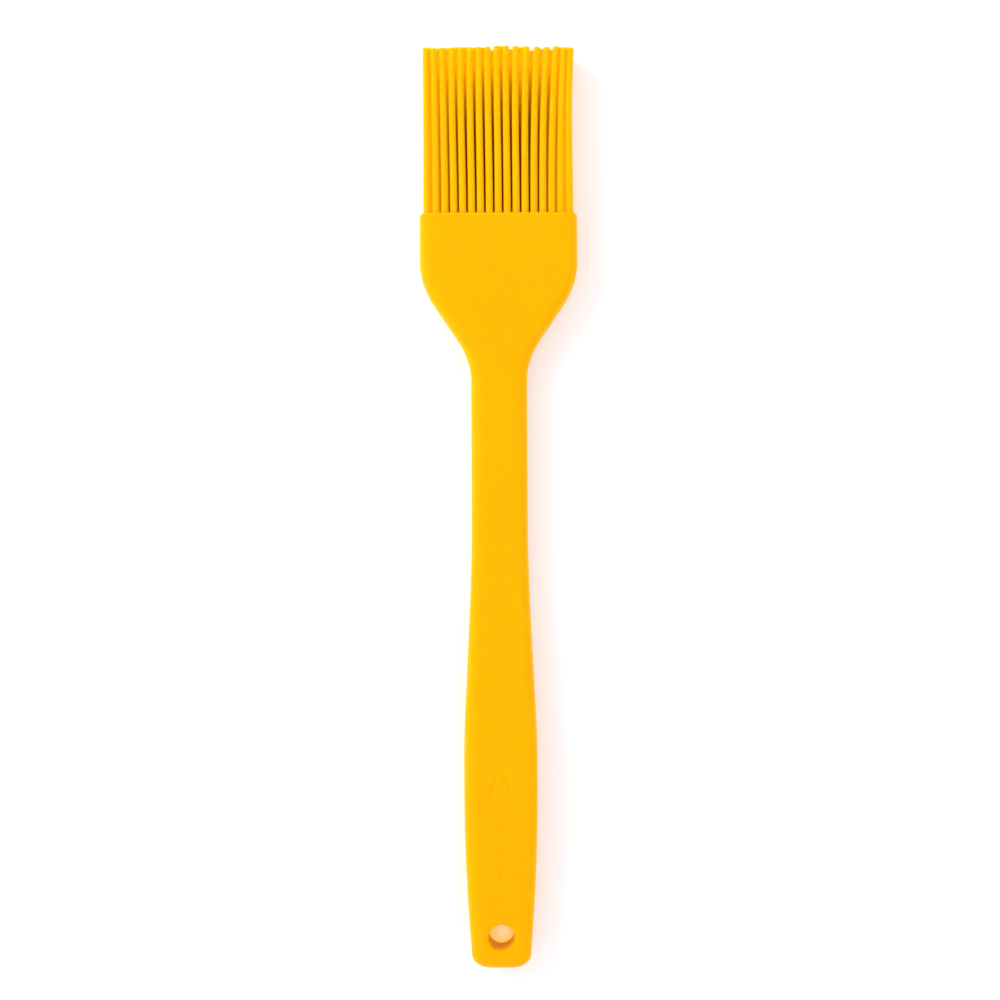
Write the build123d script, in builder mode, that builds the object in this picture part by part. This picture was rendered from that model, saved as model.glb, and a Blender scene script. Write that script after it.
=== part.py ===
"""Silicone basting brush: a stiff core inside a one-piece silicone body, with five rows of bristles.

The brush lies on its back. X runs across the head, Y runs along the brush from the hanging hole to
the tips of the bristles, and Z runs up through the front face. The origin is under the middle.
"""

import os

from build123d import *

# Lengths along the brush, in millimetres, measured from the tail end
overall_length = 280.0
grip_start = 35.6
grip_end = 69.7
neck_start = 122.5
neck_end = 184.9
collar_start = 207.8
collar_top = 229.1

# Widths, seen from the front
tail_width = 17.6
grip_width = 22.3
neck_width = 17.0
collar_width = 47.8

# Thicknesses, seen from the side
tail_thickness = 11.6
grip_thickness = 14.0
neck_thickness = 10.6
collar_thickness = 14.0

# Rounding of the silicone body
tail_corner = 4.2
shoulder_bend = 22.6
front_bends = [tail_corner, 560.0, 290.0, 690.0, shoulder_bend, shoulder_bend, 0]
side_bends = [0, 830.0, 370.0, 745.0, 135.0, 135.0, 0]
long_edge = 3.8
collar_rim = 1.0

# Hanging hole
hole_from_tail = 9.75
hole_radius = 3.95
hole_rim = 0.8

# Stiff core, and the holes through it that the silicone fills
skin = 2.4
core_tail = 18.0
core_head = 218.0
core_edge = 1.0
shaft_key_radius = 1.8
shaft_key_pitch = 24.0
shaft_key_count = 6
shaft_keys_middle = 100.0
paddle_key_radius = 2.6
paddle_key_pitch = 10.5
paddle_key_count = 3
paddle_keys = 210.0

# Bristles: odd rows are full, and even rows stand in the gaps between them
row_count = 5
full_row = 17
column_pitch = 2.7
row_pitch = 2.34
root_radius = 1.125
tip_radius = 0.97
tip_corner = 0.5
root_clearance = 0.05

# Places in the brush's own frame
tail_y = -overall_length / 2
tip_y = overall_length / 2
collar_y = tail_y + collar_top
middle_z = collar_thickness / 2
hinge_y = collar_y + root_clearance + root_radius


def outline(half, bends, centre_line):
    """Closed face from one half of an outline, its bend radii and the plane it is mirrored in."""
    with BuildSketch() as face:
        with BuildLine():
            FilletPolyline(*half, radius=bends)
            mirror(about=centre_line)
        make_face()
    return face.sketch


def front_view(margin):
    """The brush without its bristles, seen from the front, with its sides drawn in by a margin."""
    half = [
        (0, tail_y),
        (tail_width / 2 - margin, tail_y),
        (grip_width / 2 - margin, tail_y + grip_start),
        (grip_width / 2 - margin, tail_y + grip_end),
        (neck_width / 2 - margin, tail_y + neck_start),
        (neck_width / 2 - margin, tail_y + neck_end),
        (collar_width / 2 - margin, tail_y + collar_start),
        (collar_width / 2 - margin, collar_y),
        (0, collar_y),
    ]
    return outline(half, front_bends, Plane.YZ)


def side_view(margin):
    """The brush without its bristles, seen from the side, with its faces drawn in by a margin."""
    half = [
        (tail_y, 0),
        (tail_y, tail_thickness / 2 - margin),
        (tail_y + grip_start, grip_thickness / 2 - margin),
        (tail_y + grip_end, grip_thickness / 2 - margin),
        (tail_y + neck_start, neck_thickness / 2 - margin),
        (tail_y + neck_end, neck_thickness / 2 - margin),
        (tail_y + collar_start, collar_thickness / 2 - margin),
        (collar_y, collar_thickness / 2 - margin),
        (collar_y, 0),
    ]
    return outline(half, side_bends, Plane.XZ)


# Stiff core: the brush's own shape one skin smaller, with holes that lock it into the silicone
with BuildPart() as handle_core:
    with BuildSketch(Plane.XY):
        add(front_view(skin))
        with Locations((0, tail_y + (core_tail + core_head) / 2)):
            Rectangle(collar_width, core_head - core_tail, mode=Mode.INTERSECT)
    extrude(amount=collar_thickness)
    with BuildSketch(Plane.YZ):
        with Locations((0, middle_z)):
            add(side_view(skin))
    extrude(amount=collar_width, both=True, mode=Mode.INTERSECT)
    faces_up_and_down = handle_core.faces().filter_by(lambda face: abs(face.normal_at().Z) > 0.5)
    fillet(faces_up_and_down.edges().filter_by(lambda edge: abs(edge.tangent_at(0.5).Z) < 0.5), core_edge)
    with Locations((0, tail_y + shaft_keys_middle, middle_z)):
        with GridLocations(1, shaft_key_pitch, 1, shaft_key_count):
            Hole(shaft_key_radius)
    with Locations((0, tail_y + paddle_keys, middle_z)):
        with GridLocations(paddle_key_pitch, 1, paddle_key_count, 1):
            Hole(paddle_key_radius)

# Silicone body: handle and collar in one moulding, with the core sealed inside it
with BuildPart() as silicone_body:
    with BuildSketch(Plane.XY):
        add(front_view(0))
    extrude(amount=collar_thickness)
    with BuildSketch(Plane.YZ):
        with Locations((0, middle_z)):
            add(side_view(0))
    extrude(amount=collar_width, both=True, mode=Mode.INTERSECT)
    root_face = silicone_body.faces().sort_by(Axis.Y)[-1]
    upright = silicone_body.edges().filter_by(Axis.Z)
    fillet(silicone_body.edges() - upright - root_face.edges(), long_edge)
    fillet(silicone_body.faces().sort_by(Axis.Y)[-1].edges(), collar_rim)
    with Locations((0, tail_y + hole_from_tail, middle_z)):
        Hole(hole_radius)
    fillet(silicone_body.edges(Select.NEW).filter_by(Axis.Z, reverse=True), hole_rim)
    add(handle_core.part, mode=Mode.SUBTRACT)

# One bristle along Y: a round root to turn on, a slight taper and a softly rounded tip
bristle_length = tip_y - hinge_y
with BuildPart() as bristle:
    with BuildSketch(Plane.XY) as half_profile:
        with BuildLine():
            root = CenterArc((0, 0), root_radius, -90, 90)
            Polyline(root @ 1, (tip_radius, bristle_length), (0, bristle_length), root @ 0)
        make_face()
        fillet(half_profile.vertices().sort_by(Axis.Y)[-2:].sort_by(Axis.X)[-1], tip_corner)
    revolve(axis=Axis.Y)

# Bristle rows from the front of the brush to its back, each with its bristles as separate solids
rows = []
for row in range(row_count):
    row_z = middle_z + ((row_count - 1) / 2 - row) * row_pitch
    with BuildPart() as bristle_row:
        with Locations((0, hinge_y, row_z)):
            with GridLocations(column_pitch, 1, full_row - row % 2, 1):
                add(bristle.part)
    bristle_row.part.label = f"bristle_row_{row + 1}"
    rows.append(bristle_row.part)

handle_core.part.label = "handle_core"
silicone_body.part.label = "silicone_body"

os.makedirs("parts", exist_ok=True)
for piece in [handle_core.part, silicone_body.part] + rows:
    export_step(piece, f"parts/{piece.label}.step")
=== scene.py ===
# Silicone basting brush: skin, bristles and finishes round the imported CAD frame
import math

import bmesh
import bpy
import numpy as np
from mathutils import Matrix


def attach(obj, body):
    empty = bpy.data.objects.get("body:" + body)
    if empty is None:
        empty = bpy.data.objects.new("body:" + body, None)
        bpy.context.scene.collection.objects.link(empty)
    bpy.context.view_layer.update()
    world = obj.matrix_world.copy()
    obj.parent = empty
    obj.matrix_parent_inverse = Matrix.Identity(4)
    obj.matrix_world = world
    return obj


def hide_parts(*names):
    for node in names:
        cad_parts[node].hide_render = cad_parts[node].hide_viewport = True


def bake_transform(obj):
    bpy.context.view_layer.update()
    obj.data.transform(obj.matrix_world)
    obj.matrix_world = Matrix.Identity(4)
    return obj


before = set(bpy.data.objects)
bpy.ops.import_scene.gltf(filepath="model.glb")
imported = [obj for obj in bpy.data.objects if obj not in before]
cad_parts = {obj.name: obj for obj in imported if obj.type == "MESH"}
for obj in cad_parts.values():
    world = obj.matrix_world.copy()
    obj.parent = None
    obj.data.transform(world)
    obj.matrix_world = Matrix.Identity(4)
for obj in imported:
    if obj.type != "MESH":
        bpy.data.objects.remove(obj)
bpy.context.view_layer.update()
mm = 0.001  # the dictionaries below are in millimetres and degrees
weldReach, fineReach = 1e-6, 1e-7  # metres: how close points are welded, in new pieces and in the core
print("frame: loaded", len(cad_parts), "nodes")


def softRamp(distance, reach):
    # nothing before a bend, a parabola across it, and a climb of one in one after it
    across = (distance + reach) ** 2 / (4 * reach)
    return np.where(distance < -reach, 0.0, np.where(distance > reach, distance, across))


def smoothStep(share):
    # from nothing to one with a level start and end
    share = np.clip(share, 0, 1)
    return share ** 2 * (3 - 2 * share)


def roundedLine(along, corners):
    # straight lines from corner to corner, each corner (place, value, reach) eased by a soft ramp
    place, value, reach = np.array(corners, float).T
    slope = np.diff(value) / np.diff(place)
    line = value[0] + slope[0] * (along - place[0])
    for k in range(1, len(corners) - 1):
        line = line + (slope[k] - slope[k - 1]) * softRamp(along - place[k], reach[k])
    return line


def roundEnd(distance, radius):
    # how far a quarter circle draws a surface in, at a distance from the end that it rounds
    left = np.clip(radius - distance, 0, radius)
    return radius - np.sqrt(radius ** 2 - left ** 2)


def gridQuads(rows, columns, keep=None):
    # quads of a tube's grid, numbered row by row, whose last column joins its first
    row, column = np.meshgrid(np.arange(rows - 1), np.arange(columns), indexing="ij")
    beside = (column + 1) % columns
    quads = np.stack([row * columns + column, row * columns + beside,
                      (row + 1) * columns + beside, (row + 1) * columns + column], axis=-1)
    return quads.reshape(-1, 4) if keep is None else quads[keep]


def solidMesh(name, points, quads, **values):
    # one closed mesh from arrays in millimetres, its doubles welded and its faces turned outwards, and
    # each named array of values becomes an attribute of its points
    mesh = bpy.data.meshes.new(name)
    mesh.from_pydata((points * mm).tolist(), [], quads.tolist())
    for label, value in values.items():
        mesh.attributes.new(label, "FLOAT", "POINT").data.foreach_set("value", value.ravel())
    work = bmesh.new()
    work.from_mesh(mesh)
    bmesh.ops.remove_doubles(work, verts=work.verts, dist=weldReach)
    bmesh.ops.dissolve_degenerate(work, edges=work.edges, dist=fineReach)
    bmesh.ops.recalc_face_normals(work, faces=work.faces)
    work.to_mesh(mesh)
    work.free()
    mesh.shade_smooth()
    return mesh


def makePiece(name, mesh, material):
    # an object at the origin for a mesh, with its one material
    piece = bpy.data.objects.new(name, mesh)
    bpy.context.scene.collection.objects.link(piece)
    mesh.materials.clear()
    mesh.materials.append(material)
    return piece


# Silicone of the skin, the softer one of the bristles, and the core's nylon
silicone = {
    "colour": (0.95, 0.475, 0.001, 1), "cloudColour": (0.94, 0.45, 0.001, 1),
    # painted shade: the colour that points sheltered from the light take
    "paintedShadeColour": (0.42, 0.018, 0.0, 1),
    "roughness": 0.52, "roughnessSpread": 0.10, "specular": 0.12, "specularTint": (1, 0.75, 0.15, 1),
    "cloudSize": 45.0, "grainSize": 3200.0, "grainDepth": 0.03,
    "scatter": 1.0, "scatterReach": (1.6, 0.6, 0.04),
    "sheen": 0.0, "sheenTint": (1, 0.6, 0.03, 1),
    # painted glow: how strongly the silicone glows and in what colour
    "carried": 0.0, "carriedColour": (0.75, 0.6, 0.0, 1),
}
softSilicone = {**silicone, "sheen": 0.6, "scatterReach": (3.0, 2.0, 0.1), "carried": 0.55}
coreNylon = {
    "colour": (0.016, 0.016, 0.018, 1), "fibreColour": (0.07, 0.07, 0.075, 1),
    "roughness": 0.55, "fibreSize": 900.0, "fibreStretch": 6.0, "fibreDetail": 4.0,
    # where along the noise the fibres start to show and are at their palest, and how high they stand
    "fibreSpan": (0.45, 0.75), "fibreDepth": 0.02,
}


def newSocket(group, name, direction, kind, value=None):
    # a named input or output of a node group, with the value that it starts from
    socket = group.interface.new_socket(name=name, in_out=direction, socket_type=kind)
    if value is not None:
        socket.default_value = value


def makeMouldedGroup():
    # cloudy tint between two colours, the same clouds as a small change of roughness, fine moulded grain
    # as a height, all on object coordinates, and painted shade: a darker, redder colour by each point's
    # shelter from the light
    group = bpy.data.node_groups.new("mouldedSurface", "ShaderNodeTree")
    newSocket(group, "Colour", "INPUT", "NodeSocketColor", (1, 1, 1, 1))
    newSocket(group, "Cloud Colour", "INPUT", "NodeSocketColor", (1, 1, 1, 1))
    newSocket(group, "Painted Shade Colour", "INPUT", "NodeSocketColor", (1, 1, 1, 1))
    newSocket(group, "Cloud Size", "INPUT", "NodeSocketFloat", 40.0)
    newSocket(group, "Grain Size", "INPUT", "NodeSocketFloat", 3000.0)
    newSocket(group, "Roughness", "INPUT", "NodeSocketFloat", 0.5)
    newSocket(group, "Spread", "INPUT", "NodeSocketFloat", 0.1)
    newSocket(group, "Colour", "OUTPUT", "NodeSocketColor")
    newSocket(group, "Roughness", "OUTPUT", "NodeSocketFloat")
    newSocket(group, "Height", "OUTPUT", "NodeSocketFloat")
    add, link = group.nodes.new, group.links.new
    given, out = add("NodeGroupInput"), add("NodeGroupOutput")
    where = add("ShaderNodeTexCoord")
    cloud, grain = add("ShaderNodeTexNoise"), add("ShaderNodeTexNoise")
    cloud.inputs["Detail"].default_value = 3.0
    grain.inputs["Detail"].default_value = 2.0
    tint, paintShade = add("ShaderNodeMix"), add("ShaderNodeMix")
    tint.data_type = paintShade.data_type = "RGBA"
    shelter = add("ShaderNodeAttribute")
    shelter.attribute_name = "shelter"
    uneven = add("ShaderNodeMath")
    uneven.operation = "MULTIPLY_ADD"
    centred = add("ShaderNodeMath")
    centred.operation = "SUBTRACT"
    centred.inputs[1].default_value = 0.5
    link(where.outputs["Object"], cloud.inputs["Vector"])
    link(where.outputs["Object"], grain.inputs["Vector"])
    link(given.outputs["Cloud Size"], cloud.inputs["Scale"])
    link(given.outputs["Grain Size"], grain.inputs["Scale"])
    link(cloud.outputs["Fac"], tint.inputs["Factor"])
    link(given.outputs["Cloud Colour"], tint.inputs["A"])
    link(given.outputs["Colour"], tint.inputs["B"])
    # painted shade: the shelter attribute mixes the colour towards the darker, redder one
    link(shelter.outputs["Fac"], paintShade.inputs["Factor"])
    link(tint.outputs["Result"], paintShade.inputs["A"])
    link(given.outputs["Painted Shade Colour"], paintShade.inputs["B"])
    link(cloud.outputs["Fac"], centred.inputs[0])
    link(centred.outputs["Value"], uneven.inputs[0])
    link(given.outputs["Spread"], uneven.inputs[1])
    link(given.outputs["Roughness"], uneven.inputs[2])
    link(paintShade.outputs["Result"], out.inputs["Colour"])
    link(uneven.outputs["Value"], out.inputs["Roughness"])
    link(grain.outputs["Fac"], out.inputs["Height"])
    return group


def makeSilicone(name, moulded, settings):
    # matte food-grade silicone: the moulded group's tint, roughness and grain, light scattered below the
    # surface, and a painted glow: faint emission by each point's attribute, standing in for light carried
    # in the silicone
    material = bpy.data.materials.new(name)
    material.use_nodes = True
    nodes, link = material.node_tree.nodes, material.node_tree.links.new
    shader = nodes["Principled BSDF"]
    surface, bump = nodes.new("ShaderNodeGroup"), nodes.new("ShaderNodeBump")
    surface.node_tree = moulded
    surface.inputs["Colour"].default_value = settings["colour"]
    surface.inputs["Cloud Colour"].default_value = settings["cloudColour"]
    surface.inputs["Painted Shade Colour"].default_value = settings["paintedShadeColour"]
    surface.inputs["Cloud Size"].default_value = settings["cloudSize"]
    surface.inputs["Grain Size"].default_value = settings["grainSize"]
    surface.inputs["Roughness"].default_value = settings["roughness"]
    surface.inputs["Spread"].default_value = settings["roughnessSpread"]
    bump.inputs["Distance"].default_value = settings["grainDepth"] * mm
    shader.inputs["Specular IOR Level"].default_value = settings["specular"]
    shader.inputs["Specular Tint"].default_value = settings["specularTint"]
    shader.inputs["Sheen Weight"].default_value = settings["sheen"]
    shader.inputs["Sheen Tint"].default_value = settings["sheenTint"]
    shader.subsurface_method = "RANDOM_WALK"
    shader.inputs["Subsurface Weight"].default_value = settings["scatter"]
    shader.inputs["Subsurface Radius"].default_value = settings["scatterReach"]
    shader.inputs["Subsurface Scale"].default_value = mm
    shader.inputs["Emission Strength"].default_value = settings["carried"]
    # painted glow: emission coloured by each point's attribute
    carried, glow = nodes.new("ShaderNodeAttribute"), nodes.new("ShaderNodeMix")
    carried.attribute_name = "carried"
    glow.data_type = "RGBA"
    glow.inputs["A"].default_value = (0, 0, 0, 1)
    glow.inputs["B"].default_value = settings["carriedColour"]
    link(carried.outputs["Fac"], glow.inputs["Factor"])
    link(glow.outputs["Result"], shader.inputs["Emission Color"])
    link(surface.outputs["Colour"], shader.inputs["Base Color"])
    link(surface.outputs["Roughness"], shader.inputs["Roughness"])
    link(surface.outputs["Height"], bump.inputs["Height"])
    link(bump.outputs["Normal"], shader.inputs["Normal"])
    return material


def makeCoreNylon(settings):
    # dark nylon with paler glass fibres drawn out along the brush
    material = bpy.data.materials.new("coreNylon")
    material.use_nodes = True
    nodes, link = material.node_tree.nodes, material.node_tree.links.new
    shader = nodes["Principled BSDF"]
    where, stretch = nodes.new("ShaderNodeTexCoord"), nodes.new("ShaderNodeMapping")
    fibres, ramp = nodes.new("ShaderNodeTexNoise"), nodes.new("ShaderNodeValToRGB")
    bump = nodes.new("ShaderNodeBump")
    stretch.inputs["Scale"].default_value = (1, 1 / settings["fibreStretch"], 1)
    fibres.inputs["Scale"].default_value = settings["fibreSize"]
    fibres.inputs["Detail"].default_value = settings["fibreDetail"]
    ramp.color_ramp.elements[0].position = settings["fibreSpan"][0]
    ramp.color_ramp.elements[0].color = settings["colour"]
    ramp.color_ramp.elements[1].position = settings["fibreSpan"][1]
    ramp.color_ramp.elements[1].color = settings["fibreColour"]
    bump.inputs["Distance"].default_value = settings["fibreDepth"] * mm
    shader.inputs["Roughness"].default_value = settings["roughness"]
    link(where.outputs["Object"], stretch.inputs["Vector"])
    link(stretch.outputs["Vector"], fibres.inputs["Vector"])
    link(fibres.outputs["Fac"], ramp.inputs["Fac"])
    link(ramp.outputs["Color"], shader.inputs["Base Color"])
    link(fibres.outputs["Fac"], bump.inputs["Height"])
    link(bump.outputs["Normal"], shader.inputs["Normal"])
    return material


moulded = makeMouldedGroup()
skinSilicone = makeSilicone("skinSilicone", moulded, silicone)
bristleSilicone = makeSilicone("bristleSilicone", moulded, softSilicone)
nylon = makeCoreNylon(coreNylon)
print("materials: made")

# Relief pressed into the front face: one drop and the drips that follow it
relief = {
    "depth": 0.22, "edge": 0.25, "lineWidth": 0.5,
    "dropPlace": 55.5, "dropHeight": 9.5, "dropSwell": 4.29, "dropPoint": 1.3, "dropSteps": 240,
    "dripStart": 47.0, "dripEnd": 21.0, "dripCount": 8, "dripRadius": (1.35, 0.5),
}


def reliefDepth(across, along):
    # smooth step down inside each line or drip, by distance from the drop's outline or a drip's centre;
    # the outline is an oval drawn in at the top to a point, by a power of the sine of half the turn
    turn = np.linspace(0, 2 * np.pi, relief["dropSteps"])
    outlineX = relief["dropSwell"] * np.sin(turn) * np.abs(np.sin(turn / 2)) ** relief["dropPoint"]
    outlineY = relief["dropPlace"] + relief["dropHeight"] / 2 * np.cos(turn)
    gap = np.hypot(across[..., None] - outlineX, along[..., None] - outlineY).min(axis=-1)
    inside = relief["lineWidth"] / 2 - gap
    place = np.linspace(relief["dripStart"], relief["dripEnd"], relief["dripCount"])
    size = np.linspace(*relief["dripRadius"], relief["dripCount"])
    drips = (size - np.hypot(across[..., None], along[..., None] - place)).max(axis=-1)
    return relief["depth"] * smoothStep(np.maximum(inside, drips) / relief["edge"] + 0.5)


# Silicone skin: handle and collar
skin = {
    "tailEnd": -140.0, "length": 229.1, "middle": 7.0,
    # each corner: place from the tail end, half width or half depth there, reach of the bend
    "sides": [(0, 8.8, 0), (35.6, 11.15, 18.5), (69.7, 11.15, 7.2), (122.5, 8.5, 17.2),
              (184.9, 8.5, 6.4), (207.8, 23.9, 6.4), (240, 23.9, 0)],
    "faces": [(0, 5.8, 0), (35.6, 7.0, 14), (69.7, 7.0, 6), (122.5, 5.3, 12),
              (184.9, 5.3, 5), (207.8, 7.0, 5), (240, 7.0, 0)],
    "tailCorner": 4.3, "longEdge": 3.8, "longEdgeShare": 0.85, "collarRim": 1.0, "edgeFullness": 2.2,
    "faceColumns": 64, "edgeColumns": 8,
    "seamPlaces": (1, 0.5, 0.2, 0.08, 0), "seamHeight": 0.06, "seamWidth": 0.13,
    # each stretch of rings: where it ends and its number of steps
    "stretches": [(15.0, 22), (17.6, 6), (62.0, 178), (178.0, 78), (214.0, 44), (228.1, 10)],
    "tailSteps": 14, "rimSteps": 6, "capShare": (0.03, 0.25, 0.5, 0.7, 0.85, 0.94, 1.0),
}
hole = {"place": 9.75, "radius": 3.95, "rim": 1.2, "margin": 2, "faceShare": (0, 0.35, 0.7, 1),
        "rimSteps": 8, "boreSteps": 6}


def halfDepth(along):
    # half the thickness at a distance from the tail end, less the rounding of the tail
    return roundedLine(along, skin["faces"]) - roundEnd(along, skin["longEdge"])


def sectionPoints():
    # a ring's points, from the front face's left end round to the right: the place of each between the
    # corner centres, from -1 to 1, and the way it stands off them; the corners are quarter turns made a
    # little fuller by raising sine and cosine to a power below one
    across = np.linspace(-1, 1, skin["faceColumns"] + 1)
    turn = np.linspace(0, np.pi / 2, skin["edgeColumns"] + 1)[1:-1]
    out, up = np.sin(turn) ** (2 / skin["edgeFullness"]), np.cos(turn) ** (2 / skin["edgeFullness"])
    half = np.array(skin["seamPlaces"], float)
    down = np.concatenate([half, -half[-2::-1]])
    one, flat = np.ones_like, np.zeros_like
    quarter = [
        (across, one(across), flat(across), one(across)),
        (one(turn), one(turn), out, up),
        (one(down), down, one(down), flat(down)),
        (one(turn), -one(turn), out[::-1], -up[::-1]),
    ]
    right = [np.concatenate(part) for part in zip(*quarter)]
    return [np.concatenate([part, -part]) for part in right]


def skinStations():
    # distances from the tail end: close together round both ends, even along each stretch
    turn = np.linspace(0, np.pi / 2, skin["tailSteps"] + 1)
    parts = [skin["tailCorner"] * (1 - np.cos(turn))]
    for end, steps in skin["stretches"]:
        parts.append(np.linspace(parts[-1][-1], end, steps + 1)[1:])
    rim = np.linspace(0, np.pi / 2, skin["rimSteps"] + 1)[1:]
    parts.append(skin["length"] - skin["collarRim"] * (1 - np.sin(rim)))
    return np.concatenate(parts)


def makeSkinMesh():
    # a rounded section carried along the brush: each ring is as wide and as deep as the rounded lines
    # say, drawn in by quarter circles at the tail and the collar's rim
    along = skinStations()
    rimIn = roundEnd(skin["length"] - along, skin["collarRim"])
    wide = roundedLine(along, skin["sides"]) - roundEnd(along, skin["tailCorner"]) - rimIn
    deep = halfDepth(along) - rimIn
    edge = np.minimum(skin["longEdge"] - rimIn, skin["longEdgeShare"] * deep)
    spanX, spanZ, outX, outZ = sectionPoints()
    x = spanX * (wide - edge)[:, None] + outX * edge[:, None]
    z = spanZ * (deep - edge)[:, None] + outZ * edge[:, None]
    y = np.repeat(along[:, None], x.shape[1], axis=1)
    # the two halves of the mould meet in a fine raised line round the sides
    seam = skin["seamHeight"] * np.exp(-(z / skin["seamWidth"]) ** 2)
    x += np.sign(outX) * (outZ == 0) * seam
    # each end closes in rings that shrink onto the section's middle line
    share = np.array(skin["capShare"])[:, None]
    tailX, tailZ, headX, headZ = x[0], z[0], x[-1], z[-1]
    tailLine, headLine = wide[0] - deep[0], wide[-1] - deep[-1]
    tailCapX = tailX + (np.clip(tailX, -tailLine, tailLine) - tailX) * share[::-1]
    tailCapZ = tailZ * (1 - share[::-1])
    headCapX = headX + (np.clip(headX, -headLine, headLine) - headX) * share
    headCapZ = headZ * (1 - share)
    tailCapY = -skin["seamHeight"] * np.exp(-(tailCapZ / skin["seamWidth"]) ** 2)
    x = np.concatenate([tailCapX, x, headCapX])
    y = np.concatenate([tailCapY, y, np.full_like(headCapX, skin["length"])])
    z = np.concatenate([tailCapZ, z, headCapZ])
    z -= (spanZ == 1) * (outX == 0) * reliefDepth(x, y)
    points = np.stack([x, y + skin["tailEnd"], z + skin["middle"]], axis=-1)
    # the hanging hole takes the place of a block of faces, front and back
    columns = skin["faceColumns"]
    backStart = len(spanX) // 2
    firstRow = len(share) + skin["tailSteps"]
    lastRow = firstRow + skin["stretches"][0][1]
    firstColumn, lastColumn = hole["margin"], columns - hole["margin"]
    keep = np.ones((len(points) - 1, points.shape[1]), bool)
    keep[firstRow:lastRow, firstColumn:lastColumn] = False
    keep[firstRow:lastRow, backStart + firstColumn:backStart + lastColumn] = False
    rows = np.concatenate([np.full(lastColumn - firstColumn, firstRow), np.arange(firstRow, lastRow),
                           np.full(lastColumn - firstColumn, lastRow), np.arange(lastRow, firstRow, -1)])
    sideways = np.concatenate([np.arange(firstColumn, lastColumn), np.full(lastRow - firstRow, lastColumn),
                               np.arange(lastColumn, firstColumn, -1),
                               np.full(lastRow - firstRow, firstColumn)])
    tube = holeTube(points[rows, sideways], points[rows, backStart + columns - sideways])
    quads = np.concatenate([gridQuads(*points.shape[:2], keep),
                            gridQuads(*tube.shape[:2]) + points.shape[0] * points.shape[1]])
    allPoints = np.concatenate([points.reshape(-1, 3), tube.reshape(-1, 3)])
    return solidMesh("silicone_skin", allPoints, quads)


def holeTube(frontLoop, backLoop):
    # from the front block's edge in to a circle, round the rim, down the bore and out again at the back
    centre = np.array([0, skin["tailEnd"] + hole["place"]])
    turn = np.arctan2(*(frontLoop[:, :2] - centre).T[::-1])
    ray = np.stack([np.cos(turn), np.sin(turn)], axis=-1)

    def ring(radius, drop, side):
        flat = centre + radius * ray
        level = halfDepth(flat[:, 1] - skin["tailEnd"]) - drop
        return np.column_stack([flat, skin["middle"] + side * level])

    def halfTube(loop, side):
        outer = ring(hole["radius"] + hole["rim"], 0, side)
        rings = [loop + (outer - loop) * share for share in hole["faceShare"]]
        for angle in np.linspace(0, np.pi / 2, hole["rimSteps"] + 1)[1:]:
            rings.append(ring(hole["radius"] + hole["rim"] * (1 - np.sin(angle)),
                              hole["rim"] * (1 - np.cos(angle)), side))
        return rings

    front, back = halfTube(frontLoop, 1), halfTube(backLoop, -1)
    bore = [front[-1] + (back[-1] - front[-1]) * share
            for share in np.linspace(0, 1, hole["boreSteps"] + 1)[1:-1]]
    return np.stack(front + bore + back[::-1])


def addCavity(piece, core):
    # the skin's inner wall: the core's own surface, welded and turned to face the core
    work = bmesh.new()
    work.from_mesh(core.data)
    bmesh.ops.remove_doubles(work, verts=work.verts, dist=fineReach)
    bmesh.ops.recalc_face_normals(work, faces=work.faces)
    bmesh.ops.reverse_faces(work, faces=work.faces)
    for face in work.faces:
        face.smooth = False
        face.material_index = 0
    work.from_mesh(piece.data)
    work.to_mesh(piece.data)
    work.free()


skinPiece = makePiece("silicone_skin", makeSkinMesh(), skinSilicone)
addCavity(skinPiece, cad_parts["handle_core"])
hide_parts("silicone_body")
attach(skinPiece, "handle")
print("skin:", len(skinPiece.data.polygons), "faces")

# Bristles: five rows of tapered rods that grow out of the collar's end
bristle = {
    "rows": 5, "fullRow": 17, "pitch": 2.7, "rowPitch": 2.34, "middle": 7.0,
    "collarTop": 89.1, "tip": 140.0, "sunk": 0.4, "hinge": 90.275,
    "rootRadius": 1.125, "tipRadius": 0.97, "tipCorner": 0.42,
    "flare": 0.2, "flareHeight": 0.8, "flareShare": (0, 0.12, 0.3, 0.6, 1),
    "sides": 20, "steps": 14, "tipSteps": 5,
    # how far each front bristle's tip leans sideways, and how far it bows on the way, from the left
    "lean": (-0.2, -0.5, -0.55, -0.34, -0.27, -0.24, -0.24, -0.4, -0.31, -0.2,
             0.09, 0.64, 1.11, 1.38, 1.46, 1.07, 0.56),
    "bow": (0.04, -0.12, -0.21, -0.29, -0.35, -0.3, -0.26, -0.2, -0.16, -0.18,
            -0.17, -0.06, 0.03, 0.01, 0.09, 0.04, -0.27),
    # how much longer than the nominal length each front bristle is
    "extra": (-0.72, -0.85, -0.79, -0.75, -0.66, -0.69, -0.58, -0.52, -0.27, -0.25,
              -0.4, -0.48, -0.6, -0.66, -0.49, -0.82, -0.93),
    # the second row: how far each bristle leans forward into its gap, and how much longer it is
    "secondForward": (0.7, 0.75, 0.8, 0.8, 0.75, 0.45, 0.35, 0.25,
                      0.5, 0.2, 0.8, 0.2, 0.6, 0.25, 0.7, 0.6),
    "secondExtra": (-0.3, -0.6, -0.5, -0.2, -0.2, -0.3, -0.3, -1.1, 0.1, -0.8,
                    -0.3, -1.2, -0.8, -1.0, -0.4, -0.3),
    # how much of the front row's lean the others keep, and how far rows 3 to 5 lean forward
    "leanKept": (1.0, 0.98, 0.85, 0.75, 0.7), "forward": (0, 0, 0.45, 0.3, 0.15),
    "forwardPlace": (0.3, 0.8),
    "leanSpread": 0.1, "lengthSpread": 0.4, "seed": 11,
    # how far the painted shade keeps back from the faces, the sides and the tips, where daylight reaches
    # in among the bristles
    "lightFromFaces": 1.2, "lightFromSides": 14.0, "lightFromTips": 26.0,
    # painted glow, standing in for light that the silicone takes in and carries: how deep it starts, how
    # far it goes down from the tips and in from the sides, and how far out towards the faces it shows
    "carriedFrom": 0.8, "carriedDown": 8.0, "carriedIn": 4.0, "carriedOut": 0.6,
}


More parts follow.
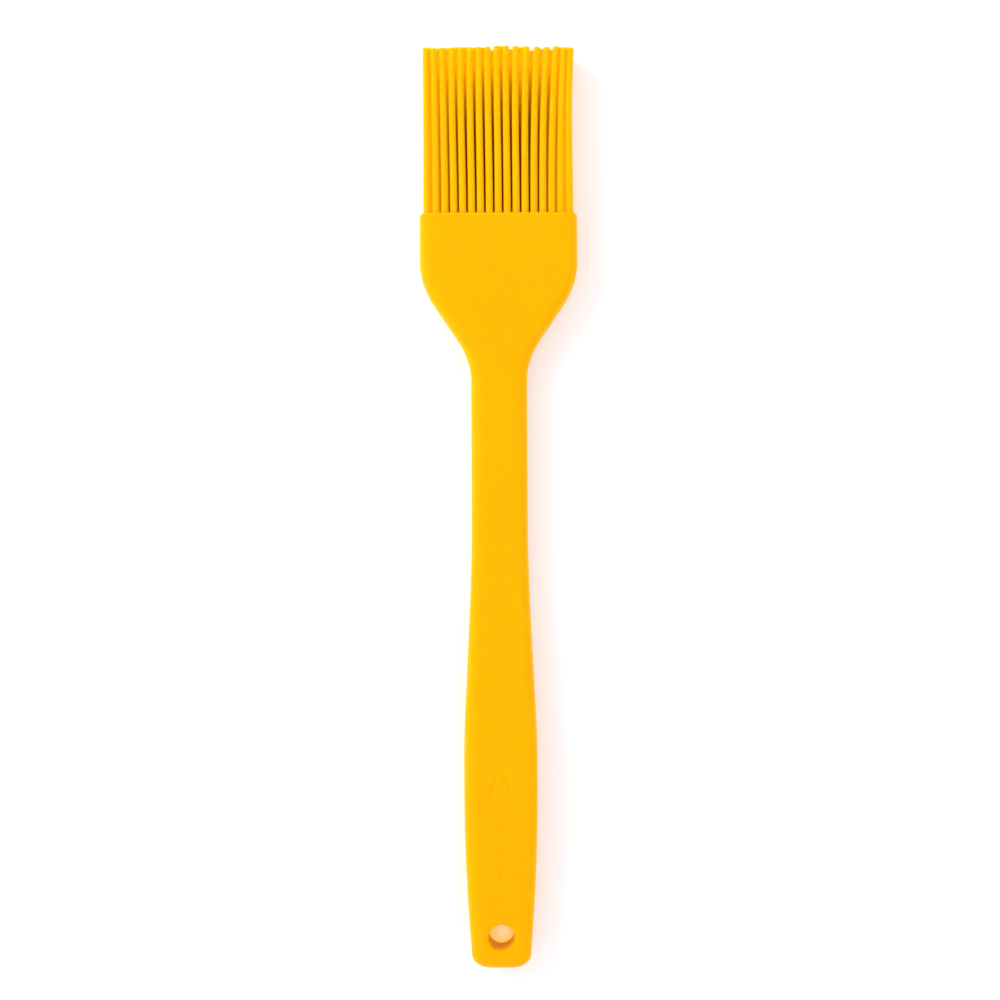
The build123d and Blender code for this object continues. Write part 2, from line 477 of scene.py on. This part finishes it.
def makeBristleRow(row, chance):
    # tapered rods, all at once: circles carried up leaning and bowed centre lines, closed at both ends
    count = bristle["fullRow"] - row % 2
    full = (np.arange(bristle["fullRow"]) - (bristle["fullRow"] - 1) / 2) * bristle["pitch"]
    rootX = (np.arange(count) - (count - 1) / 2) * bristle["pitch"]
    rootZ = bristle["middle"] + ((bristle["rows"] - 1) / 2 - row) * bristle["rowPitch"]
    leanX = np.interp(rootX, full, bristle["lean"]) * bristle["leanKept"][row]
    bowX = np.interp(rootX, full, bristle["bow"]) * bristle["leanKept"][row]
    leanZ = np.full(count, bristle["forward"][row])
    tip = bristle["tip"] + np.interp(rootX, full, bristle["extra"])
    if row == 1:
        leanZ, tip = np.array(bristle["secondForward"]), bristle["tip"] + np.array(bristle["secondExtra"])
    elif row:
        leanX = leanX + chance.uniform(-1, 1, count) * bristle["leanSpread"]
        leanZ = leanZ + chance.uniform(-1, 1, count) * bristle["leanSpread"]
        tip = tip + chance.uniform(-1, 1, count) * bristle["lengthSpread"]
    # heights above the collar: the root's sunk end, its flare, the shaft and the round of the tip
    flareHeights = np.array(bristle["flareShare"]) * bristle["flareHeight"]
    low = np.concatenate([[-bristle["sunk"]] * 2, flareHeights])
    shaft = np.linspace(0, 1, bristle["steps"] + 1)[1:]
    turn = np.linspace(0, np.pi / 2, bristle["tipSteps"] + 1)[1:]
    free = (tip - bristle["collarTop"])[:, None]
    straight = free - bristle["tipCorner"] - bristle["flareHeight"]
    height = np.concatenate([
        np.repeat(low[None], count, 0),
        bristle["flareHeight"] + straight * shaft,
        free - bristle["tipCorner"] * (1 - np.sin(turn)),
        np.repeat(free, 2, 1),
    ], axis=1)
    taper = (bristle["tipRadius"] - bristle["rootRadius"]) * np.clip(height / free, 0, 1)
    flare = bristle["flare"] * np.clip(1 - height / bristle["flareHeight"], 0, 1) ** 2
    flare = np.where(height < 0, bristle["flare"], flare)
    radius = bristle["rootRadius"] + taper + flare - roundEnd(free - height, bristle["tipCorner"])
    # the first and last rings are poles, and the last but one is halfway out on the tip's flat end
    radius[:, 0] = 0
    radius[:, -2] *= 0.5
    radius[:, -1] = 0
    # the lean is the cube of the share of the height, the bow is greatest two thirds of the way up, the
    # forward lean is a smooth step along the middle part, and each ring is square to its bristle
    share = np.clip(height / free, 0, None)
    bowPeak = 27 / 4  # brings the bow's cubic to one at its greatest
    leanX, leanZ, bowX = leanX[:, None], leanZ[:, None], bowX[:, None] * bowPeak
    centreX = rootX[:, None] + leanX * share ** 3 + bowX * share ** 2 * (1 - share)
    slopeX = (3 * leanX * share ** 2 + bowX * share * (2 - 3 * share)) / free
    start, end = bristle["forwardPlace"]
    step = np.clip((share - start) / (end - start), 0, 1)
    centreZ = rootZ + leanZ * smoothStep(step)
    slopeZ = leanZ * 6 * step * (1 - step) / ((end - start) * free)
    around = np.linspace(0, 2 * np.pi, bristle["sides"], endpoint=False)
    outX = radius[..., None] * np.cos(around)
    outZ = radius[..., None] * np.sin(around)
    x = centreX[..., None] + outX
    y = bristle["collarTop"] + height[..., None] - slopeX[..., None] * outX - slopeZ[..., None] * outZ
    z = centreZ[..., None] + outZ
    points = np.stack([x, y, z], axis=-1)
    # painted shade grows from the outer rows' middles inwards, and falls off towards the sides and the
    # tips
    outerZ = (bristle["rows"] - 1) / 2 * bristle["rowPitch"]
    depth = (outerZ - np.abs(z - bristle["middle"])) / bristle["lightFromFaces"]
    fromSide = np.clip(full[-1] + bristle["rootRadius"] - np.abs(x), 0, None)
    fromTip = np.clip((bristle["collarTop"] + free)[..., None] - y, 0, None)
    shelter = (smoothStep(depth) * smoothStep(fromSide / bristle["lightFromSides"])
               * smoothStep(fromTip / bristle["lightFromTips"]))
    # painted glow: emission strongest just inside the tips and the sides, standing in for light carried
    # through the silicone
    byTips = (1 - np.exp(-fromTip / bristle["carriedFrom"])) * np.exp(-fromTip / bristle["carriedDown"])
    bySides = (1 - np.exp(-fromSide / bristle["carriedFrom"])) * np.exp(-fromSide / bristle["carriedIn"])
    carried = smoothStep(depth + bristle["carriedOut"]) * np.maximum(byTips, bySides)
    single = gridQuads(points.shape[1], points.shape[2])
    shift = np.arange(count)[:, None, None] * (points.shape[1] * points.shape[2])
    quads = (single[None] + shift).reshape(-1, 4)
    mesh = solidMesh(f"bristles_{row + 1}", points.reshape(-1, 3), quads,
                     shelter=shelter, carried=carried)
    return mesh, rootZ


chance = np.random.default_rng(bristle["seed"])
for row in range(bristle["rows"]):
    mesh, rootZ = makeBristleRow(row, chance)
    piece = makePiece(f"bristles_{row + 1}", mesh, bristleSilicone)
    node = f"bristle_row_{row + 1}"
    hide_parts(node)
    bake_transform(piece)
    print("bristles:", node, len(mesh.polygons), "faces")

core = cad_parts["handle_core"]
core.data.materials.clear()
core.data.materials.append(nylon)
print("core: nylon")

# Floor, light and camera
floorFinish = {
    "colour": (0.86, 0.86, 0.86, 1), "shade": (0.84, 0.84, 0.84, 1), "cloudSize": 3.0,
    "roughness": 0.9, "specular": 0.1, "glow": (0.17, 0.18, 0.235, 1),
    # painted pool of warm light on the paper under the hanging hole: its middle, its edge, and how far off
    # it ends
    "paintedPoolPlace": (0.3, -131.3, 0), "paintedPoolRadius": 7.0, "paintedPoolEdge": 0.5,
    "paintedPoolColour": (0.5, 0.435, 0.25, 1), "paintedPoolEdgeColour": (0.52, 0.31, 0.01, 1),
}
studio = {
    "floorSize": 3000.0, "worldLight": 1.0,
    "keyPlace": (-520, 300, 480), "keySize": 450.0, "keyPower": 2.45,
    "cameraPlace": (0.1, 2.22, 540.0), "cameraRoll": -0.26, "lens": 62.79, "nearest": 10.0,
}


def makeFloor():
    # a pale sheet of paper with faint clouds, and a glow whose colour is a painted pool of warm light
    # under the hanging hole, by distance from its middle
    half = studio["floorSize"] / 2 * mm
    mesh = bpy.data.meshes.new("floor")
    corners = [(-half, -half, 0), (half, -half, 0), (half, half, 0), (-half, half, 0)]
    mesh.from_pydata(corners, [], [(0, 1, 2, 3)])
    material = bpy.data.materials.new("floorPaper")
    material.use_nodes = True
    nodes, link = material.node_tree.nodes, material.node_tree.links.new
    where, cloud, tint = (nodes.new("ShaderNodeTexCoord"), nodes.new("ShaderNodeTexNoise"),
                          nodes.new("ShaderNodeMix"))
    tint.data_type = "RGBA"
    tint.inputs["A"].default_value = floorFinish["colour"]
    tint.inputs["B"].default_value = floorFinish["shade"]
    cloud.inputs["Scale"].default_value = floorFinish["cloudSize"]
    # painted pool of light: the glow's colour by distance from the spot under the hanging hole
    away, share, paintedPool = (nodes.new("ShaderNodeVectorMath"), nodes.new("ShaderNodeMath"),
                         nodes.new("ShaderNodeValToRGB"))
    away.operation = "DISTANCE"
    away.inputs[1].default_value = np.array(floorFinish["paintedPoolPlace"]) * mm
    share.operation = "DIVIDE"
    share.inputs[1].default_value = floorFinish["paintedPoolRadius"] * mm
    paintedPool.color_ramp.interpolation = "EASE"
    paintedPool.color_ramp.elements[0].color = floorFinish["paintedPoolColour"]
    paintedPool.color_ramp.elements[1].color = floorFinish["glow"]
    paintedPool.color_ramp.elements.new(floorFinish["paintedPoolEdge"]).color = floorFinish["paintedPoolEdgeColour"]
    shader = nodes["Principled BSDF"]
    shader.inputs["Roughness"].default_value = floorFinish["roughness"]
    shader.inputs["Specular IOR Level"].default_value = floorFinish["specular"]
    shader.inputs["Emission Strength"].default_value = 1.0
    link(where.outputs["Object"], away.inputs[0])
    link(away.outputs["Value"], share.inputs[0])
    link(share.outputs["Value"], paintedPool.inputs["Fac"])
    link(paintedPool.outputs["Color"], shader.inputs["Emission Color"])
    link(where.outputs["Object"], cloud.inputs["Vector"])
    link(cloud.outputs["Fac"], tint.inputs["Factor"])
    link(tint.outputs["Result"], shader.inputs["Base Color"])
    mesh.materials.append(material)
    floor = bpy.data.objects.new("floor", mesh)
    bpy.context.scene.collection.objects.link(floor)


def makeLight():
    # white light from all round, and one round key light that faces the middle of the brush
    world = bpy.data.worlds.new("studioWorld")
    bpy.context.scene.world = world
    world.use_nodes = True
    world.node_tree.nodes["Background"].inputs["Color"].default_value = (1, 1, 1, 1)
    world.node_tree.nodes["Background"].inputs["Strength"].default_value = studio["worldLight"]
    light = bpy.data.lights.new("keyLight", "AREA")
    light.shape = "DISK"
    light.size = studio["keySize"] * mm
    light.energy = studio["keyPower"]
    key = bpy.data.objects.new("keyLight", light)
    place = np.array(studio["keyPlace"]) * mm
    key.location = place
    key.rotation_euler = (math.atan2(math.hypot(place[0], place[1]), place[2]), 0,
                          math.atan2(place[1], place[0]) + math.pi / 2)
    bpy.context.scene.collection.objects.link(key)


def makeCamera():
    # straight down on the front of the brush, with its tips at the top
    lens = bpy.data.cameras.new("camera")
    lens.lens = studio["lens"]
    lens.clip_start = studio["nearest"] * mm
    camera = bpy.data.objects.new("camera", lens)
    camera.location = np.array(studio["cameraPlace"]) * mm
    camera.rotation_euler = (0, 0, math.radians(studio["cameraRoll"]))
    bpy.context.scene.collection.objects.link(camera)
    bpy.context.scene.camera = camera


makeFloor()
makeLight()
makeCamera()
bpy.context.scene.view_settings.view_transform = "Standard"
print("studio: made")
